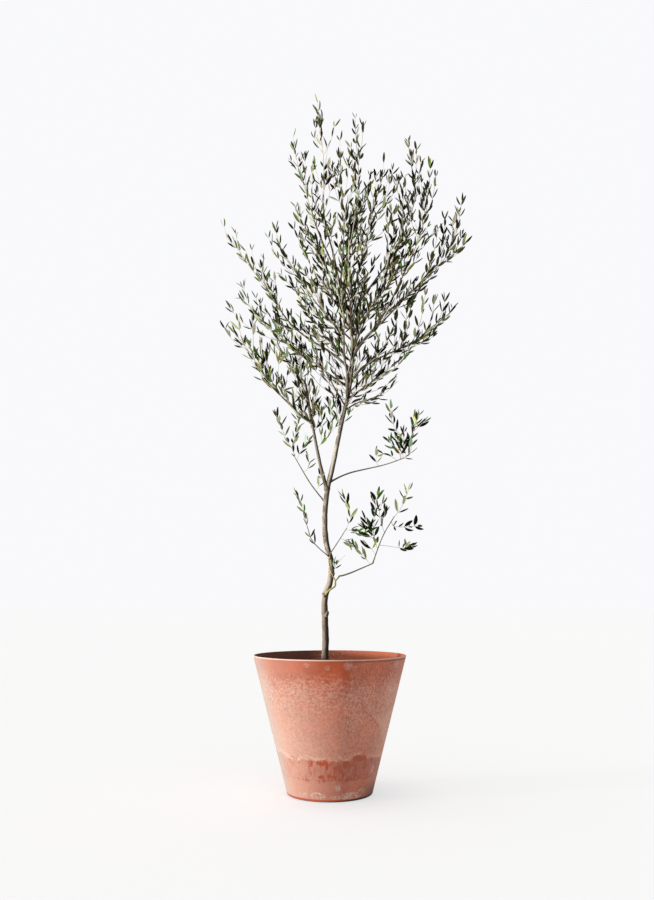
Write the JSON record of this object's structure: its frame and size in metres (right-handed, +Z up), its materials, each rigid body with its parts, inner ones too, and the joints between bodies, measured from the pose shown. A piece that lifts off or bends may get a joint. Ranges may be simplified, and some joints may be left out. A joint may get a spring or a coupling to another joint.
{
  "type": "potted olive tree",
  "caption": "Young olive tree with an airy upright crown of slender shoots, in a tapered terracotta-coloured pot.",
  "frame": {"origin": "centre of the pot's flat underside, where it stands", "axes": "+Z up along the pot's axis, -Y towards the broad side that the plant shows to the viewer, +X to that viewer's right"},
  "size_m": [0.6594, 0.5023, 1.7984],
  "materials": {
    "terracotta": "matt terracotta-coloured composite with a pale mineral bloom",
    "soil": "rough, crumbly potting mix",
    "bark": "grey-brown bark, finely fissured",
    "foliage": "narrow leathery leaves, grey-green above and silvery beneath"
  },
  "bodies": {
    "root": {"arm_tuft": "foliage", "back_centre_foliage": "foliage", "back_foliage": "foliage", "back_left_foliage": "foliage", "back_limb": "bark", "back_low_right_foliage": "foliage", "back_right_foliage": "foliage", "fork_sprig": "foliage", "front_centre_foliage": "foliage", "front_left_foliage": "foliage", "front_limb": "bark", "front_low_foliage": "foliage", "front_low_left_foliage": "foliage", "front_right_foliage": "foliage", "inner_right_sprig": "foliage", "inner_right_twig": "bark", "leader_foliage": "foliage", "left_bough": "bark", "left_bough_foliage": "foliage", "left_centre_foliage": "foliage", "left_inner_foliage": "foliage", "left_inner_limb": "bark", "left_long_foliage": "foliage", "left_long_limb": "bark", "left_low_foliage": "foliage", "left_low_limb": "bark", "left_mid_branch": "bark", "left_mid_foliage": "foliage", "left_mid_limb": "bark", "left_mid_sprig": "foliage", "left_upper_foliage": "foliage", "low_left_branch": "bark", "low_left_sprig": "foliage", "low_right_foliage": "foliage", "outer_right_foliage": "foliage", "pot": "terracotta", "right_arm": "bark", "right_arm_sprig": "foliage", "right_hanging_sprig": "foliage", "right_low_branch_inner": "bark", "right_low_branch_outer": "bark", "right_low_foliage": "foliage", "right_low_limb": "bark", "right_low_sprig": "foliage", "right_lower_foliage": "foliage", "right_mid_foliage": "foliage", "right_mid_limb": "bark", "right_outer_limb": "bark", "right_side_sprig": "foliage", "right_top_foliage": "foliage", "right_upper_limb": "bark", "soil": "soil", "top_back_foliage": "foliage", "top_front_foliage": "foliage", "top_left_foliage": "foliage", "top_right_foliage": "foliage", "trunk": "bark", "upper_left_foliage": "foliage", "upper_right_foliage": "foliage"}
  },
  "joints": []
}
